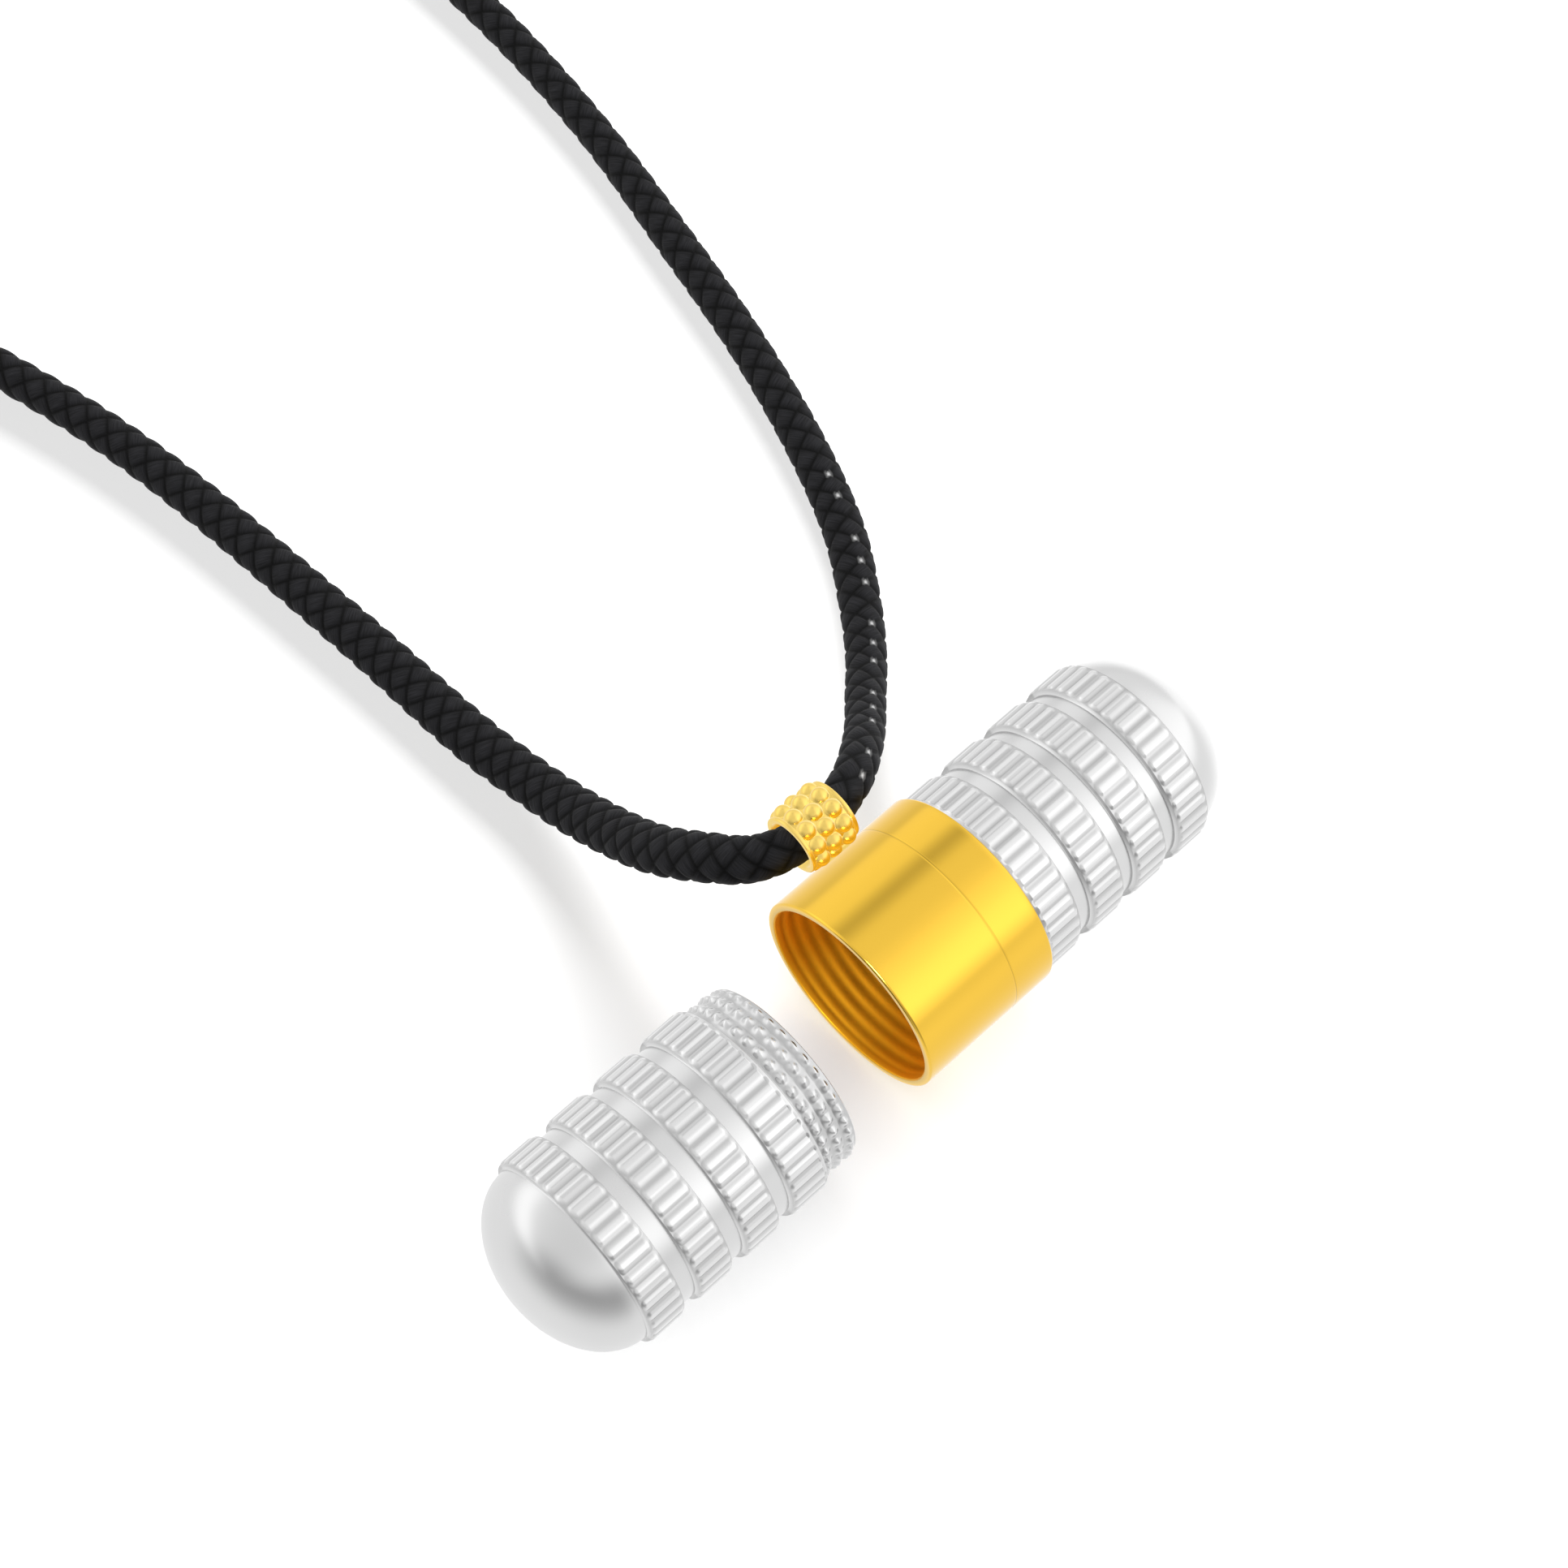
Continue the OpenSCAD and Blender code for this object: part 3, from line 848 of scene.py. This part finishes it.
def bead_surface(turn, along):
    """Radius of the bail's outside: its tube with rings of half-sunk beads."""
    surface = np.full(turn.shape, BAIL_TUBE_R)
    step = (BAIL_LEN - 2 * BAIL_RIM_W) / BEAD_RINGS
    for ring in range(BEAD_RINGS):
        at = (ring - (BEAD_RINGS - 1) / 2) * step
        share = (turn * BEADS / TURN - (ring % 2) / 2 + 0.5) % 1 - 0.5
        off = share * TURN / BEADS
        inside = BEAD_R**2 - (BEAD_AT * np.sin(off)) ** 2 - (along - at) ** 2
        bead = np.where(inside > 0, BEAD_AT * np.cos(off) + np.sqrt(np.maximum(inside, 0)), 0)
        surface = np.maximum(surface, bead)
    return surface


def bail_rings():
    """Rings of the bail: a plain rim, the beads, the other rim and the bore."""
    many, few, bead_steps = 300, 100, 92
    turn = np.arange(many) * TURN / many
    half, edge = BAIL_LEN / 2, 0.07
    rim_start = half - BAIL_RIM_W
    rings = [(many, r, x) for r, x in arc((BAIL_RIM_R - edge, -half + edge), edge, -90, 0, 4)]
    rings += [(many, r, x) for r, x in arc((BAIL_RIM_R - edge, -rim_start - edge), edge, 0, 90, 3)]
    for x in np.linspace(-rim_start + 0.01, rim_start - 0.01, bead_steps):
        rings.append((many, bead_surface(turn, x), x))
    rings += [(many, r, x) for r, x in arc((BAIL_RIM_R - edge, rim_start + edge), edge, -90, 0, 3)]
    rings += [(many, r, x) for r, x in arc((BAIL_RIM_R - edge, half - edge), edge, 0, 90, 4)]
    rings += [(few, r, x) for r, x in arc((BAIL_BORE_R + edge, half - edge), edge, 90, 180, 4)]
    rings += [(few, r, x) for r, x in arc((BAIL_BORE_R + edge, -half + edge), edge, 180, 270, 4)]
    return rings


def sleeve_and_bail(gold, shaded_inner_gold, beaded):
    """The sleeve, its bail and the solder between them."""
    low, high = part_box("threaded_sleeve")
    axis = middle("upper_capsule")
    start, end = low.x / MM, high.x / MM
    bail = Vector(((end + start) / 2, axis.y, axis.z)) + Vector(BAIL_PLACE)

    def in_bore(radius, along):
        return radius < (SLEEVE_R + FEMALE_R) / 2

    def sleeve_recess(radius, along):
        in_thread = np.clip((radius - FEMALE_R) / SLEEVE_THREAD_DEPTH, 0, 1)
        in_seam = (abs(along - SEAM_AT) < SEAM_W / 4) & (radius < SLEEVE_R)
        return np.where(in_bore(radius, along), in_thread, np.where(in_seam, 1, PLAIN_DEPTH))

    on_axis = placed_at((start + end) / 2, axis.y, axis.z)
    tube = lathe("sleeve", sleeve_rings(end - start), on_axis, gold, sleeve_recess, shaded_inner_gold, in_bore)
    loop = lathe("bail", bail_rings(), placed_at(*bail), beaded)
    solder = solder_joint(bail, axis, beaded)
    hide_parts("threaded_sleeve")
    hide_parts("threaded_sleeve")
    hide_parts("threaded_sleeve")
    return tube, loop, solder


def solder_joint(bail, axis, material):
    """The fillet of solder between the bail's tube and the sleeve, lengthwise along both."""
    fillet, sink = 0.2, 0.12
    gap = math.hypot(bail.y - axis.y, bail.z - axis.z)
    far, near = SLEEVE_R + fillet, BAIL_TUBE_R + fillet
    # Angle at the bail's axis between the way to the sleeve and the way to the fillet's centre
    lean = math.acos((gap**2 + near**2 - far**2) / (2 * gap * near))
    centre = np.array((near * math.cos(lean), near * math.sin(lean)))
    touch = centre * BAIL_TUBE_R / near
    to_sleeve = np.array((gap, 0)) - centre
    base = centre + to_sleeve * fillet / far
    first = math.atan2(*(touch - centre)[::-1])
    last = math.atan2(*(base - centre)[::-1])
    sweep = np.linspace(first, last, 9)
    curve = [(centre[0] + fillet * math.cos(t), centre[1] + fillet * math.sin(t)) for t in sweep]
    inner = (touch[0] - sink * math.cos(lean), touch[1] - sink * math.sin(lean))
    outer = (base[0] + 1.2 * sink, base[1])
    outline = [inner, *curve, outer]
    outline += [(x, -y) for x, y in outline[::-1]]
    down = np.array((axis.y - bail.y, axis.z - bail.z)) / gap
    across = np.array((-down[1], down[0]))
    # Cross-sections towards either end: distance from the bail's middle, and share of the full width
    end_sections = [(0.75, 1), (0.95, 0.9), (1.05, 0.75), (1.1, 0.5)]
    sections = [(-x, width) for x, width in end_sections[::-1]] + end_sections
    points, faces, size = [], [], len(outline)
    for x, width in sections:
        for u, v in outline:
            spot = u * down + v * width * across
            points.append((bail.x + x, bail.y + spot[0], bail.z + spot[1]))
    for k in range(len(sections) - 1):
        for j in range(size):
            n = (j + 1) % size
            faces.append([k * size + j, k * size + n, (k + 1) * size + n, (k + 1) * size + j])
    faces.append(list(range(size))[::-1])
    faces.append([(len(sections) - 1) * size + j for j in range(size)])
    return add_mesh("solder", points, faces, material)


# Clasp

def clasp_piece(material):
    """The barrel clasp: round edges, a waist and two turned rings, with a socket in each end."""
    low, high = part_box("cord_clasp")
    half, radius, many = (high.x - low.x) / 2 / MM, (high.z - low.z) / 2 / MM, 96
    bottom = half - SOCKET_DEPTH
    profile = arc((radius - CLASP_EDGE, half - CLASP_EDGE), CLASP_EDGE, 90, 0, 6)
    profile += [(radius - depth, at + x) for at in CLASP_GROOVES for depth, x in CLASP_GROOVE]
    profile += [(radius - depth, x) for depth, x in CLASP_WAIST]
    mirrored = [(r, -x) for r, x in profile[::-1]]
    mouth = arc((SOCKET_R + SOCKET_EDGE, -half + SOCKET_EDGE), SOCKET_EDGE, 270, 180, 4)
    rings = [(1, 0, bottom), (many, SOCKET_R, bottom)]
    rings += [(many, r, -x) for r, x in mouth[::-1]]
    rings += [(many, r, x) for r, x in profile + mirrored + mouth]
    rings += [(many, SOCKET_R, -bottom), (1, 0, -bottom)]

    clasp = lathe("barrel_clasp", rings, placed_at(*middle("cord_clasp")), material)
    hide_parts("cord_clasp")
    return clasp


gold, shaded_inner_gold, lit_beaded_gold, silver, inner_silver, steel = (
    polished(name, *numbers) for name, numbers in METALS.items()
)
braid = braided()

aim_camera()
light_studio()
floor = add_floor()

cord, cord_line, cord_length = braided_cord(braid)
cord.visible_glossy = False
cord.visible_diffuse = False
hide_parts("neck_cord")
fitted = capsule_half("fitted_half", "upper_capsule", 1, FITTED_RIBS_TURN, silver, inner_silver)
removed = capsule_half("removed_half", "lower_capsule", -1, REMOVED_RIBS_TURN, silver, inner_silver)
sleeve, bail, solder = sleeve_and_bail(gold, shaded_inner_gold, lit_beaded_gold)
clasp = clasp_piece(steel)
for piece in (bail, solder):
    piece.visible_glossy = False

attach(fitted, "fitted_half")
for piece in (cord, removed, sleeve, bail, solder, clasp):
    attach(piece, "pendant")

key = add_lamp("key", **KEY_LAMP)
glint = add_lamp("glint", **GLINT_LAMP)
into_mouth = add_lamp("into_mouth", **MOUTH_LAMP)
link_lamp(key, [floor], [cord])
link_lamp(glint, [cord])
link_lamp(into_mouth, [sleeve], [sleeve])

bpy.context.scene.view_settings.view_transform = "Standard"
bpy.context.scene.view_settings.look = "None"
